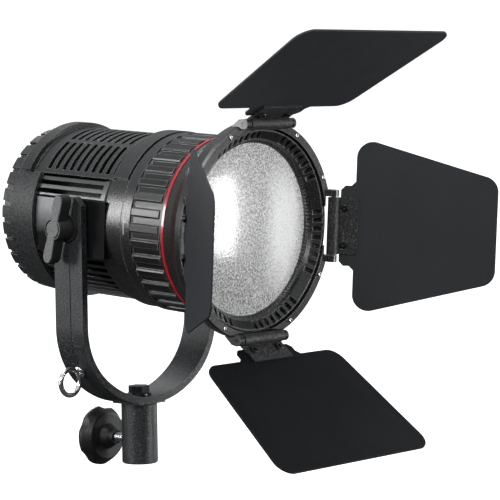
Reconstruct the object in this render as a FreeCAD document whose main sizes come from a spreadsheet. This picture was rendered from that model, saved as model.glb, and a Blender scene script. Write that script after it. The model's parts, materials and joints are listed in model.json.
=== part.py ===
"""Studio fresnel spotlight with a yoke, a focusing ring and four barn doors.

World frame: millimetres, +Z up, the beam leaves towards -Y, and the origin is the centre of
the mouth of the stand socket.  Pieces of the lamp head are drawn in the beam frame, whose Y
axis is the optical axis and whose origin lies above the tilt pivot.  A profile written as
(forward, radius) is turned about that axis, and "forward" is counted towards the lens.
"""
import FreeCAD
import Part
import Sketcher
import math
import os
import re

from FreeCAD import Placement, Rotation, Vector

SIZES = {
    # yoke and stand socket
    "yoke_half": 66.6,
    "yoke_wall": 5.0,
    "yoke_width": 26.0,
    "yoke_base": 42.0,
    "yoke_top": 188.0,
    "bend_radius": 52.0,
    "floor_radius": 75.0,
    "crease_forward": 1.5,
    "crease_width": 0.9,
    "crease_depth": 0.6,
    "seat_half": 13.0,
    "socket_radius": 12.5,
    "socket_bore": 8.05,
    "socket_depth": 34.0,
    "bolt_radius": 4.0,
    "bolt_hole": 4.05,
    "bolt_flats": 13.0,
    "bolt_head": 5.3,
    "washer_wall": 1.6,
    # safety eye
    "eye_ring": 8.8,
    "eye_wire": 1.7,
    "eye_reach": 11.6,
    "eye_stud": 3.0,
    # lock knob
    "lock_height": 16.0,
    "knob_radius": 20.8,
    "knob_face": 41.0,
    "knob_shoulder": 30.6,
    "knob_lobe": 14.0,
    "hub_front": 22.5,
    "stem_radius": 3.0,
    "stem_hole": 3.05,
    "pad_tip": 8.2,
    "pad_length": 2.0,
    # tilt pivot and lever
    "pivot_height": 166.8,
    "rest_tilt": 3.6,
    "beam_lift": 5.1,
    "lever_face": 81.0,
    "lever_root": 68.2,
    "lever_hub": 7.6,
    "lever_half": 24.0,
    "lever_neck": 3.6,
    "lever_tip": 5.0,
    "lever_lean": 16.5,
    # lamp body along the beam
    "body_rear": -74.6,
    "rear_front": -42.0,
    "rear_small": 57.3,
    "rear_large": 59.8,
    "notch_length": 9.0,
    "notch_width": 3.4,
    "notch_floor": 55.0,
    "panel_radius": 53.4,
    "panel_rear": -73.0,
    "panel_wall": 2.5,
    "sink_front": 22.6,
    "sink_radius": 57.0,
    "sink_root": 42.0,
    "sink_bore": 34.0,
    "sink_base": 8.0,
    "fin_gap": 3.3,
    "side_low": -24.0,
    "side_high": 14.5,
    "side_inner": 46.5,
    "side_panel_face": 56.2,
    "side_boss_face": 60.7,
    "side_boss_rear": -15.0,
    "side_front": 29.0,
    # vent cover
    "cover_inner": 60.1,
    "cover_outer": 61.6,
    "cover_rear": -60.0,
    "cover_front": 42.0,
    "deck_inner": 57.2,
    "deck_outer": 58.6,
    "deck_rear": -50.2,
    "deck_front": 27.8,
    "slot_width": 3.6,
    "slot_pitch": 6.95,
    "slot_first": -37.0,
    # collar and focusing ring
    "collar_rear": 22.8,
    "collar_low": 59.8,
    "collar_high": 61.0,
    "collar_inner": 52.0,
    "collar_front": 52.0,
    "guide_outer": 56.7,
    "guide_inner": 55.2,
    "focus_inner": 57.0,
    "focus_base": 59.3,
    "rib_radius": 61.1,
    "rib_width": 6.4,
    "rib_top": 4.2,
    "focus_rear": 52.4,
    "focus_front": 80.5,
    # optics
    "rod_radius": 2.0,
    "rod_circle": 49.5,
    "carriage_rear": 54.0,
    "carriage_wall": 6.0,
    "condenser": 34.2,
    "lens_edge": 59.8,
    "lens_rear": 99.0,
    "lens_wall": 4.0,
    "dome_radius": 57.7,
    "dome_rise": 9.5,
    # front end
    "barrel_step": 101.4,
    "barrel_neck": 66.3,
    "barrel_front": 106.0,
    "ring_bore": 66.45,
    "ring_outer": 73.8,
    "ring_lip": 68.2,
    "ring_front": 114.4,
    "door_axis": 71.3,
    "door_forward": 117.6,
    # barn doors
    "roll_radius": 3.9,
    "pin_radius": 1.6,
    "pin_hole": 1.65,
    "bracket_half": 19.5,
    "bracket_length": 17.0,
    "bracket_low": 2.4,
    "leaf_wall": 1.2,
    "flat_height": 66.9,
    "lug_nose": 3.5,
    "lug_inner": 20.2,
    "lug_outer": 24.7,
    "tab_edge": 4.5,
    "tab_half": 27.6,
    "leaf_edge": 14.6,
    "leaf_end": 111.6,
    "corner_radius": 11.0,
    "screw_along": 7.5,
    "screw_across": 12.6,
}

DOORS = {
    # name: (place round the ring, opening from the beam, width at the hinge, width at the end)
    "top": (90.0, 32.6, 132.0, 154.0),
    "bottom": (270.0, 35.8, 132.0, 154.0),
    "left": (180.0, 38.8, 123.0, 70.5),
    "right": (0.0, 34.5, 123.0, 70.5),
}

doc = FreeCAD.newDocument("fresnel_spotlight")
sheet = doc.addObject("Spreadsheet::Sheet", "Sizes")
for row, (alias, number) in enumerate(SIZES.items(), start=1):
    sheet.set(f"A{row}", alias)
    sheet.set(f"B{row}", str(number))
    sheet.setAlias(f"B{row}", alias)
doc.recompute()


def size(alias):
    """A driving dimension, read back from the sheet."""
    return float(sheet.get(alias))


def bound(text):
    """The formula with every alias written as a reference to the sheet."""
    return re.sub(r"[a-z_]+", lambda word: ("Sizes." if word.group(0) in SIZES else "") + word.group(0), text)


def drive(target, prop, text):
    target.setExpression(prop, bound(text))


# ---------------------------------------------------------------- drawing helpers
PIECES = []


def body(label, frame="world"):
    """A PartDesign body in the world frame or in the beam frame."""
    made = doc.addObject("PartDesign::Body", label)
    made.Label = label
    if frame == "beam":
        made.Placement = Placement(Vector(), Rotation(Vector(1, 0, 0), size("rest_tilt")))
        drive(made, "Placement.Base.y", "-beam_lift * sin(rest_tilt)")
        drive(made, "Placement.Base.z", "pivot_height + beam_lift * cos(rest_tilt)")
        drive(made, "Placement.Rotation.Angle", "rest_tilt")
    elif frame != "world":
        made.Placement = frame
    PIECES.append(made)
    return made


def plane(owner, role):
    return next(item for item in owner.Origin.OriginFeatures if item.Role == role)


def sketch(owner, role, offset=None, turn=None):
    """A sketch on one of the body's own planes, lifted by a bound offset along its normal."""
    made = owner.newObject("Sketcher::SketchObject", "outline")
    made.AttachmentSupport = [(plane(owner, role), "")]
    made.MapMode = "FlatFace"
    if turn is not None:
        made.AttachmentOffset = Placement(Vector(), turn)
    if offset is not None:
        drive(made, "AttachmentOffset.Base.z", offset)
    return made


def hold(drawing, geometry, point, x, y, start):
    """Pin one point of a sketch to bound coordinates."""
    for kind, formula, near in (("DistanceX", x, start.x), ("DistanceY", y, start.y)):
        index = drawing.addConstraint(Sketcher.Constraint(kind, -1, 1, geometry, point, near))
        drive(drawing, f"Constraints[{index}]", formula)


def outline(drawing, corners):
    """A closed polygon whose corners are bound formulas."""
    count = len(corners)
    first = drawing.GeometryCount
    start = []
    for index in range(count):
        angle = 2 * math.pi * index / count
        start.append(Vector(100 * math.cos(angle) + 1, 100 * math.sin(angle) + 2, 0))
    for index in range(count):
        drawing.addGeometry(Part.LineSegment(start[index], start[(index + 1) % count]), False)
    for index in range(count):
        follower = first + (index + 1) % count
        drawing.addConstraint(Sketcher.Constraint("Coincident", first + index, 2, follower, 1))
    for index, (x, y) in enumerate(corners):
        hold(drawing, first + index, 1, str(x), str(y), start[index])


def circle(drawing, radius, x="0", y="0"):
    index = drawing.addGeometry(Part.Circle(Vector(1, 2, 0), Vector(0, 0, 1), 5), False)
    limit = drawing.addConstraint(Sketcher.Constraint("Radius", index, 5))
    drive(drawing, f"Constraints[{limit}]", str(radius))
    hold(drawing, index, 3, str(x), str(y), Vector(1, 2, 0))


def rectangle(drawing, x0, y0, x1, y1):
    outline(drawing, [(x0, y0), (x1, y0), (x1, y1), (x0, y1)])


def pad(owner, drawing, length, midplane=False, reverse=False):
    made = owner.newObject("PartDesign::Pad", "pad")
    made.Profile = drawing
    drive(made, "Length", str(length))
    made.Midplane = midplane
    made.Reversed = reverse
    return made


def pocket(owner, drawing, length, midplane=False, reverse=False):
    made = owner.newObject("PartDesign::Pocket", "pocket")
    made.Profile = drawing
    drive(made, "Length", str(length))
    made.Midplane = midplane
    made.Reversed = reverse
    return made


def revolve(owner, drawing, axis, angle=360.0, midplane=False, kind="PartDesign::Revolution"):
    made = owner.newObject(kind, "turned")
    made.Profile = drawing
    made.ReferenceAxis = (drawing, [axis])
    made.Angle = angle
    made.Midplane = midplane
    return made


def repeat(owner, originals, count, role="Y_Axis", angle=360.0):
    """The features repeated round one of the body's axes."""
    made = owner.newObject("PartDesign::PolarPattern", "round")
    made.Originals = originals
    made.Axis = (plane(owner, role), [""])
    made.Angle = angle
    made.Occurrences = count
    owner.Tip = made
    return made


def row(owner, originals, count, pitch, role="Y_Axis", reverse=True):
    """The features repeated in a straight row, forward along the beam."""
    made = owner.newObject("PartDesign::LinearPattern", "row")
    made.Originals = originals
    made.Direction = (plane(owner, role), [""])
    made.Reversed = reverse
    drive(made, "Length", f"{pitch} * {count - 1}")
    made.Occurrences = count
    owner.Tip = made
    return made


def turned(label, profile, frame="beam", angle=360.0):
    """A body turned about the beam axis from (forward, radius) corners."""
    made = body(label, frame)
    drawing = sketch(made, "YZ_Plane")
    outline(drawing, [(f"-({forward})", radius) for forward, radius in profile])
    revolve(made, drawing, "H_Axis", angle, angle < 360.0)
    return made


def sector_cut(owner, rear, front, low):
    """The top of a turned body cut back to a smaller radius, under the vent cover's deck."""
    drawing = sketch(owner, "YZ_Plane")
    rectangle(drawing, f"-({front})", low, f"-({rear})", "cover_outer")
    revolve(owner, drawing, "H_Axis", 122.0, True, "PartDesign::Groove")


def disc(owner, radius, rear, length, x="0", z="0"):
    """A round boss along the beam, from `rear` forward."""
    drawing = sketch(owner, "XZ_Plane", rear)
    circle(drawing, radius, x, z)
    return pad(owner, drawing, length)


def bar(owner, radius, start, length, across="0", high="0"):
    """A round boss along X, from `start` outward."""
    drawing = sketch(owner, "YZ_Plane", start)
    circle(drawing, radius, across, high)
    return pad(owner, drawing, length)


def bar_hole(owner, radius, start, length, across="0", high="0", reverse=True):
    drawing = sketch(owner, "YZ_Plane", start)
    circle(drawing, radius, across, high)
    return pocket(owner, drawing, length, reverse=reverse)


def block(owner, x0, x1, rear, front, z0, z1):
    """A rectangular boss: x range, forward range, z range."""
    drawing = sketch(owner, "XZ_Plane", rear)
    rectangle(drawing, x0, z0, x1, z1)
    return pad(owner, drawing, f"({front}) - ({rear})")


def block_cut(owner, x0, x1, rear, front, z0, z1):
    drawing = sketch(owner, "XZ_Plane", rear)
    rectangle(drawing, x0, z0, x1, z1)
    return pocket(owner, drawing, f"({front}) - ({rear})", reverse=True)


# ---------------------------------------------------------------- yoke and its hardware
def yoke_path(drawing, offset):
    """The outer line of the yoke, moved inward by `offset`, from arm top to arm top."""
    half = size("yoke_half") - offset
    side = size("bend_radius") - offset
    floor = size("floor_radius") - offset
    top = size("yoke_top")
    side_x = size("yoke_half") - size("bend_radius")
    floor_z = size("yoke_base") + size("floor_radius")
    side_z = floor_z - math.sqrt((size("floor_radius") - size("bend_radius")) ** 2 - side_x ** 2)
    meet = math.atan2(side_z - floor_z, side_x)
    join_x = side_x + side * math.cos(meet)
    join_z = side_z + side * math.sin(meet)
    middle = meet / 2
    right = Part.Arc(
        Vector(join_x, join_z, 0),
        Vector(side_x + side * math.cos(middle), side_z + side * math.sin(middle), 0),
        Vector(half, side_z, 0),
    )
    left = Part.Arc(
        Vector(-half, side_z, 0),
        Vector(-side_x - side * math.cos(middle), side_z + side * math.sin(middle), 0),
        Vector(-join_x, join_z, 0),
    )
    bottom = Part.Arc(
        Vector(-join_x, join_z, 0),
        Vector(0, floor_z - floor, 0),
        Vector(join_x, join_z, 0),
    )
    return [
        Part.LineSegment(Vector(-half, top, 0), Vector(-half, side_z, 0)),
        left,
        bottom,
        right,
        Part.LineSegment(Vector(half, side_z, 0), Vector(half, top, 0)),
    ]


def yoke_band(drawing, outer, inner):
    """A closed strip between two offsets of the yoke's outer line."""
    lines = yoke_path(drawing, outer)
    back = yoke_path(drawing, inner)
    top = size("yoke_top")
    caps = []
    for sign in (-1, 1):
        a = sign * (size("yoke_half") - outer)
        b = sign * (size("yoke_half") - inner)
        caps.append(Part.LineSegment(Vector(a, top, 0), Vector(b, top, 0)))
    for piece in lines + back + caps:
        drawing.addGeometry(piece, False)


def make_yoke():
    yoke = body("yoke")
    drawing = sketch(yoke, "XZ_Plane")
    yoke_band(drawing, 0.0, size("yoke_wall"))
    pad(yoke, drawing, "yoke_width", midplane=True)
    seat = sketch(yoke, "XY_Plane", "yoke_base")
    rectangle(seat, "-seat_half", "-seat_half", "seat_half", "seat_half")
    pad(yoke, seat, "yoke_wall - 1")
    face = sketch(yoke, "XY_Plane", "yoke_base + yoke_wall")
    circle(face, 9.2)
    pocket(yoke, face, 2, reverse=True)
    hole = sketch(yoke, "XY_Plane", "yoke_base - 1")
    circle(hole, "bolt_hole")
    pocket(yoke, hole, "yoke_wall + 3", reverse=True)
    for side in ("-yoke_half - 1", "yoke_half - yoke_wall - 1"):
        bar_hole(yoke, "bolt_hole", side, "yoke_wall + 2", "0", "pivot_height")
    for sign in ("", "-"):
        corner = sketch(yoke, "YZ_Plane", "-yoke_half - 1")
        outline(corner, [
            (f"{sign}(yoke_width / 2 - 6)", "yoke_top + 1"),
            (f"{sign}(yoke_width / 2 + 1)", "yoke_top + 1"),
            (f"{sign}(yoke_width / 2 + 1)", "yoke_top - 7"),
        ])
        pocket(yoke, corner, "2 * yoke_half + 2", reverse=True)
    crease = sketch(yoke, "XZ_Plane", "crease_forward - crease_width / 2")
    yoke_band(crease, -0.5, size("crease_depth"))
    pocket(yoke, crease, "crease_width", reverse=True)
    eye = sketch(yoke, "XY_Plane")
    eye.AttachmentOffset = Placement(EYE_CENTRE, EYE_TURN)
    circle(eye, "eye_stud + 0.05")
    pocket(yoke, eye, "bend_radius + 2", reverse=True)


def eye_geometry():
    """The centre of the yoke's left bend and the turn that points Z out through it."""
    side_x = size("yoke_half") - size("bend_radius")
    floor_z = size("yoke_base") + size("floor_radius")
    side_z = floor_z - math.sqrt((size("floor_radius") - size("bend_radius")) ** 2 - side_x ** 2)
    outward = Vector(-math.cos(math.radians(35)), 0, -math.sin(math.radians(35)))
    return Vector(-side_x, 0, side_z), Rotation(Vector(0, 0, 1), outward)


EYE_CENTRE, EYE_TURN = eye_geometry()


def make_socket():
    socket = body("stand_socket")
    drawing = sketch(socket, "XZ_Plane")
    outline(drawing, [
        ("socket_bore", "0"),
        ("socket_radius - 0.8", "0"),
        ("socket_radius", "0.8"),
        ("socket_radius", "yoke_base - 0.5"),
        ("socket_radius - 0.5", "yoke_base"),
        ("bolt_hole", "yoke_base"),
        ("bolt_hole", "socket_depth"),
        ("socket_bore", "socket_depth"),
    ])
    revolve(socket, drawing, "V_Axis")
    hole = sketch(socket, "XZ_Plane", "-socket_radius - 1")
    circle(hole, "stem_hole", "0", "lock_height")
    pocket(socket, hole, "socket_radius", reverse=True)


def hexagon(flats):
    """Corners of a hexagon with the given distance across its flats."""
    corners = []
    reach = 1 / math.sqrt(3)
    for index in range(6):
        angle = math.radians(60 * index)
        x = reach * math.cos(angle)
        y = reach * math.sin(angle)
        corners.append((f"({flats}) * {x:.6f}", f"({flats}) * {y:.6f}"))
    return corners


def make_socket_bolt():
    bolt = body("socket_bolt")
    head = sketch(bolt, "XY_Plane", "yoke_base + yoke_wall + washer_wall")
    outline(head, hexagon("bolt_flats"))
    pad(bolt, head, "bolt_head")
    shank = sketch(bolt, "XY_Plane", "yoke_base + yoke_wall + washer_wall")
    circle(shank, "bolt_radius")
    pad(bolt, shank, "yoke_wall + washer_wall + yoke_base - socket_depth - 1", reverse=True)
    washer = body("socket_washer")
    drawing = sketch(washer, "XY_Plane", "yoke_base + yoke_wall")
    circle(drawing, 8.5)
    circle(drawing, 4.2)
    pad(washer, drawing, "washer_wall")


def primitive(kind, name, **sizes):
    made = doc.addObject(kind, name)
    for prop, formula in sizes.items():
        drive(made, prop, formula)
    return made


def fused(label, parts, place):
    """Part primitives joined into one piece and set in place."""
    made = doc.addObject("Part::MultiFuse", label)
    made.Label = label
    made.Shapes = parts
    made.Placement = place
    PIECES.append(made)
    return made


def make_eye():
    """A screwed eye through the left bend of the yoke, with its nut inside the bend."""
    ring = primitive("Part::Torus", "eye_loop", Radius1="eye_ring", Radius2="eye_wire")
    ring.Placement = Placement(Vector(), Rotation(Vector(1, 0, 0), 90))
    drive(ring, "Placement.Base.z", "bend_radius + eye_reach")
    collar = primitive("Part::Cylinder", "eye_collar", Radius="eye_stud + 1.5", Height="1.8")
    drive(collar, "Placement.Base.z", "bend_radius")
    stud = primitive("Part::Cylinder", "eye_shank", Radius="eye_stud", Height="yoke_wall + 8")
    drive(stud, "Placement.Base.z", "bend_radius - yoke_wall - 5")
    place = Placement(EYE_CENTRE, EYE_TURN)
    fused("eye_bolt", [ring, collar, stud], place)
    nut = body("eye_nut", place)
    drawing = sketch(nut, "XY_Plane", "bend_radius - yoke_wall")
    outline(drawing, hexagon("eye_stud * 3.2"))
    circle(drawing, "eye_stud + 0.05")
    pad(nut, drawing, 4, reverse=True)
    facing = sketch(nut, "XY_Plane", "bend_radius - yoke_wall - 0.35")
    circle(facing, 12)
    pocket(nut, facing, 3, reverse=True)


# ---------------------------------------------------------------- lock knob
def along_y(name, radius, start, length, height="lock_height"):
    made = primitive("Part::Cylinder", name, Radius=radius, Height=length)
    made.Placement = Placement(Vector(), Rotation(Vector(1, 0, 0), -90))
    drive(made, "Placement.Base.y", start)
    drive(made, "Placement.Base.z", height)
    return made


def make_lock_knob():
    """A five-lobed knob whose threaded stem pushes a soft pad into the socket's bore."""
    pad_piece = along_y("clamp_pad", "stem_radius", "pad_tip", "pad_length")
    pad_piece.Label = "clamp_pad"
    PIECES.append(pad_piece)
    stem = along_y("lock_stem", "stem_radius", "pad_tip + pad_length", "knob_shoulder - pad_tip - pad_length")
    stem.Label = "lock_stem"
    PIECES.append(stem)
    axis = Placement(Vector(0, 0, size("lock_height")), Rotation())
    knob = turned("lock_knob", [
        ("-knob_face", "0"), ("-knob_face", "knob_radius - 2.6"),
        ("-knob_face + 0.7", "knob_radius - 0.8"), ("-knob_face + 2.4", "knob_radius"),
        ("-knob_face + 4.2", "knob_radius"), ("-knob_shoulder - 0.5", "knob_radius - 4"),
        ("-knob_shoulder", "knob_radius - 5"), ("-knob_shoulder", "9"),
        ("-hub_front - 3.5", "7"), ("-hub_front - 2", "5.4"), ("-hub_front", "5"),
        ("-hub_front", "stem_radius"), ("-knob_shoulder", "stem_radius"), ("-knob_shoulder", "0"),
    ], axis)
    drive(knob, "Placement.Base.z", "lock_height")
    scallops = sketch(knob, "XZ_Plane", "-knob_face - 1")
    for index in range(5):
        angle = math.radians(72 * index + 7)
        circle(
            scallops, "knob_lobe",
            f"(knob_radius + knob_lobe - 2.2) * {math.cos(angle):.5f}",
            f"(knob_radius + knob_lobe - 2.2) * {math.sin(angle):.5f}",
        )
    pocket(knob, scallops, "knob_face - knob_shoulder + 2", reverse=True)


# ---------------------------------------------------------------- tilt pivot
def make_lever():
    lever = body("tilt_lever")
    wing = sketch(lever, "YZ_Plane", "-lever_face")
    lean = math.radians(size("lever_lean"))
    corners = []
    half = size("lever_half")
    neck = size("lever_neck")
    tip = size("lever_tip")
    quarter = [(tip - 1, half), (tip, half - 1.5), (tip - 0.4, half - 6), (neck, 9)]
    shape = quarter + [(across, -high) for across, high in reversed(quarter)]
    shape += [(-across, -high) for across, high in quarter]
    shape += [(-across, high) for across, high in reversed(quarter)]
    for across, high in shape:
        y = across * math.cos(lean) - high * math.sin(lean)
        z = across * math.sin(lean) + high * math.cos(lean)
        corners.append((f"{y:.4f}", f"pivot_height + {z:.4f}"))
    outline(wing, corners)
    pad(lever, wing, "lever_face - lever_root - 3")
    bar(lever, "lever_hub", "-lever_face", "lever_face - lever_root", "0", "pivot_height")
    recess = sketch(lever, "YZ_Plane", "-lever_face")
    circle(recess, "lever_hub - 1.2", "0", "pivot_height")
    pocket(lever, recess, 1.2, reverse=True)
    bar_hole(lever, "bolt_hole", "-lever_root - 7", "9", "0", "pivot_height")
    cap = body("lever_cap")
    bar(cap, "lever_hub - 1.3", "-lever_face + 0.2", "0.95", "0", "pivot_height")
    stud = body("tilt_stud")
    bar(stud, "bolt_radius", "-lever_root - 6.9", "lever_root + 6.9 - side_inner - 1", "0", "pivot_height")
    bolt = body("pivot_bolt")
    bar(bolt, 7.0, "yoke_half", 4.0, "0", "pivot_height")
    bar(bolt, "bolt_radius", "side_inner + 1", "yoke_half - side_inner", "0", "pivot_height")
    bar_hole(bolt, 2.6, "yoke_half + 1.6", 4, "0", "pivot_height")
    washers = body("friction_washers")
    places = (("-lever_root + 0.02", 1.5), ("-side_boss_face - 0.85", 0.8), ("side_boss_face + 0.05", 0.8))
    for start, wall in places:
        drawing = sketch(washers, "YZ_Plane", start)
        circle(drawing, 9.5, "0", "pivot_height")
        circle(drawing, "bolt_hole", "0", "pivot_height")
        pad(washers, drawing, wall)


# ---------------------------------------------------------------- lamp body
def radial_slot(angle, near, far, half):
    """Corners of a rectangle that lies along a radius of the beam axis."""
    along = Vector(math.cos(math.radians(angle)), math.sin(math.radians(angle)), 0)
    across = Vector(-along.y, along.x, 0)
    corners = []
    for reach, side in ((near, half), (far, half), (far, -half), (near, -half)):
        corner = along * reach + across * side
        corners.append((f"{corner.x:.4f}", f"{corner.y:.4f}"))
    return corners


def make_rear():
    ring = turned("rear_ring", [
        ("body_rear", "rear_small - 3.5"),
        ("body_rear", "rear_small - 0.6"),
        ("body_rear + 0.6", "rear_small"),
        ("rear_front", "rear_large"),
        ("rear_front", "rear_large - 4.6"),
        ("body_rear + 6", "rear_small - 3.5"),
    ])
    sector_cut(ring, "deck_rear - 2.6", "rear_front + 1", "deck_inner - 0.3")
    notch = sketch(ring, "XY_Plane", "notch_floor")
    rectangle(notch, "-notch_width / 2", "-body_rear - notch_length", "notch_width / 2", "-body_rear + 1")
    cut = pocket(ring, notch, 6, reverse=True)
    repeat(ring, [cut], 30)

    panel = body("rear_panel", "beam")
    disc(panel, "panel_radius", "panel_rear", "panel_wall")
    block_cut(panel, -18.2, 18.2, "panel_rear - 1", "panel_rear + panel_wall + 1", 26.8, 41.2)
    block_cut(panel, -42.2, -26.8, "panel_rear - 1", "panel_rear + panel_wall + 1", -11.2, 11.2)
    hole = sketch(panel, "XZ_Plane", "panel_rear - 1")
    circle(hole, 3.6, 36, 0)
    circle(hole, 9.6, 0, -38)
    pocket(panel, hole, "panel_wall + 2", reverse=True)

    window = body("display_window", "beam")
    block(window, -18, 18, "panel_rear + 0.4", "panel_rear + 2", 27, 41)

    frame = body("switch_bezel", "beam")
    block(frame, -42, -27, "panel_rear + 0.1", "panel_rear + 10", -11, 11)
    block_cut(frame, -40.6, -28.4, "panel_rear", "panel_rear + 9", -9.4, 9.4)

    inlet = body("power_inlet", "beam")
    disc(inlet, 12.5, "panel_rear - 1.6", 1.55, "0", "-38")
    disc(inlet, 9.5, "panel_rear - 0.1", 15, "0", "-38")
    well = sketch(inlet, "XZ_Plane", "panel_rear - 3")
    circle(well, 7.6, 0, -38)
    pocket(inlet, well, 13, reverse=True)
    contacts = sketch(inlet, "XZ_Plane", "panel_rear + 9.6")
    for index in range(4):
        angle = math.radians(45 + 90 * index)
        circle(contacts, 1.1, f"{4.2 * math.cos(angle):.4f}", f"{4.2 * math.sin(angle) - 38:.4f}")
    pocket(inlet, contacts, 3.4, reverse=True)

    screws = body("panel_screws", "beam")
    heads = sketch(screws, "XZ_Plane", "panel_rear - 1")
    for index in range(4):
        angle = math.radians(45 + 90 * index)
        circle(heads, 2.6, f"{47.5 * math.cos(angle):.4f}", f"{47.5 * math.sin(angle):.4f}")
    pad(screws, heads, 0.98)

    board = body("driver_board", "beam")
    block(board, -38, 38, "panel_rear + 14.5", "panel_rear + 16.1", -26, 32)

    fan = body("fan_frame", "beam")
    block(fan, -30, 30, "rear_front - 14", "rear_front - 1", -30, 30)
    bore = sketch(fan, "XZ_Plane", "rear_front - 15")
    circle(bore, 28)
    pocket(fan, bore, 15, reverse=True)
    for angle in (45, 135, 225, 315):
        spoke = sketch(fan, "XZ_Plane", "rear_front - 14")
        outline(spoke, radial_slot(angle, 6.0, 29.0, 1.5))
        pad(fan, spoke, 2)
    disc(fan, 9, "rear_front - 14", 2)


def make_rear_controls():
    rotor = body("fan_rotor", "beam")
    disc(rotor, 11, "rear_front - 10.5", 8.5)
    blade = sketch(rotor, "XZ_Plane", "rear_front - 10")
    outline(blade, [("9", "-4"), ("27.3", "-5"), ("27.3", "3"), ("9", "0.5")])
    first = pad(rotor, blade, 1.4)
    repeat(rotor, [first], 7)

    knob = body("dimmer_knob", "beam")
    disc(knob, 8.5, "panel_rear - 9", 8.6, "36", "0")
    disc(knob, 3.5, "panel_rear - 1", 8, "36", "0")
    flutes = sketch(knob, "XZ_Plane", "panel_rear - 10")
    for index in range(12):
        angle = math.radians(30 * index)
        circle(flutes, 1.3, f"{36 + 9.1 * math.cos(angle):.4f}", f"{9.1 * math.sin(angle):.4f}")
    pocket(knob, flutes, 8.6, reverse=True)

    rocker = body("power_rocker", "beam")
    drawing = sketch(rocker, "YZ_Plane", "-40.2")
    outline(drawing, [
        ("-panel_rear - 6.5", "-6.5"), ("-panel_rear - 0.4", "-8.7"), ("-panel_rear + 1.6", "-8.4"),
        ("-panel_rear + 0.2", "0"), ("-panel_rear + 1.6", "8.4"), ("-panel_rear - 0.4", "8.7"),
        ("-panel_rear - 6.5", "6.5"),
    ])
    pad(rocker, drawing, "11.4")


def make_heatsink():
    sink = body("heatsink", "beam")
    disc(sink, "sink_radius", "rear_front", "sink_front - rear_front")
    hollow = sketch(sink, "XZ_Plane", "rear_front - 1")
    circle(hollow, "sink_bore")
    pocket(sink, hollow, "sink_front - rear_front - sink_base + 1", reverse=True)
    gap = sketch(sink, "XZ_Plane", "rear_front - 1")
    rectangle(gap, "-fin_gap / 2", "sink_root", "fin_gap / 2", "sink_radius + 2")
    slot = pocket(sink, gap, "sink_front - rear_front - 3", reverse=True)
    repeat(sink, [slot], 60)
    sector_cut(sink, "rear_front - 1", "sink_front + 1", "deck_inner - 2.6")
    for x0, x1 in (("-sink_radius - 1", "-side_inner + 0.1"), ("side_inner - 0.1", "sink_radius + 1")):
        block_cut(
            sink, x0, x1, "rear_front - 1", "sink_front + 1", "side_low - 0.1", "side_high + 0.1",
        )


def make_sides():
    for name, sign in (("left", "-"), ("right", "")):
        housing = body(f"pivot_housing_{name}", "beam")
        inner = f"{sign}side_inner"
        recess = f"{sign}(side_panel_face - 1.5)"
        boss = f"{sign}side_boss_face"
        block(housing, inner, recess, "rear_front + 0.3", "side_front", "side_low", "side_high")
        block(housing, inner, boss, "side_boss_rear", "side_front", "side_low", "side_high")
        start = "side_inner - 1" if sign == "" else "-side_boss_face - 1"
        bar_hole(housing, "bolt_hole", start, "side_boss_face - side_inner + 2", "0", "-beam_lift")

        panel = body(f"side_panel_{name}", "beam")
        block(
            panel, f"{sign}(side_panel_face - 1.45)", f"{sign}side_panel_face",
            "rear_front + 0.8", "side_boss_rear - 0.2", "side_low + 1.5", "side_high - 1.5",
        )


def make_vent_cover():
    cover = turned("vent_cover", [
        ("cover_rear", "cover_inner"), ("cover_rear", "cover_outer + 0.3"),
        ("deck_rear - 0.8", "cover_outer + 0.3"),
        ("deck_rear", "deck_outer - 0.5"), ("deck_rear + 1.4", "deck_outer - 0.5"),
        ("deck_rear + 2", "deck_outer"), ("deck_front", "deck_outer"),
        ("deck_front + 0.8", "cover_outer"), ("cover_front", "cover_outer"), ("cover_front", "cover_inner"),
        ("deck_front + 2.2", "cover_inner"), ("deck_front + 1.4", "deck_inner"),
        ("deck_rear - 1.4", "deck_inner"), ("deck_rear - 2.2", "cover_inner"),
    ], angle=120.0)
    half_slot = f"cover_outer * {math.sin(math.radians(12.0)):.5f}"
    for angle in (44.0, 15.5, -15.5, -44.0):
        slot = sketch(cover, "XY_Plane", turn=Rotation(Vector(0, 1, 0), -angle))
        rectangle(
            slot, f"-{half_slot}", "-slot_first - slot_width / 2",
            half_slot, "-slot_first + slot_width / 2",
        )
        cut = pocket(cover, slot, "cover_outer + 2", reverse=True)
        row(cover, [cut], 10, "slot_pitch")

    turned("vent_mesh", [
        ("slot_first - 5", "deck_inner - 1.6"), ("slot_first - 5", "deck_inner - 1"),
        ("collar_rear - 0.5", "deck_inner - 1"), ("collar_rear - 0.5", "deck_inner - 1.6"),
    ], angle=112.0)


def make_collar():
    collar = turned("front_collar", [
        ("collar_rear", "40"), ("collar_rear", "collar_low - 2.8"), ("collar_rear + 4.6", "collar_low"),
        ("cover_front + 0.6", "collar_low"), ("cover_front + 0.9", "collar_low - 0.8"),
        ("cover_front + 1.7", "collar_low - 0.8"), ("cover_front + 2", "collar_high"),
        ("collar_front", "collar_high"), ("collar_front", "collar_inner"),
        ("collar_rear + 3.2", "collar_inner"),
        ("collar_rear + 3.2", "40"),
    ])
    sector_cut(collar, "collar_rear - 1", "deck_front + 2.6", "deck_inner - 0.3")
    for x0, x1 in (("-collar_high - 2", "-side_inner + 0.1"), ("side_inner - 0.1", "collar_high + 2")):
        block_cut(
            collar, x0, x1, "collar_rear - 1", "side_front + 0.1", "side_low - 0.1", "side_high + 0.1",
        )


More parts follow.
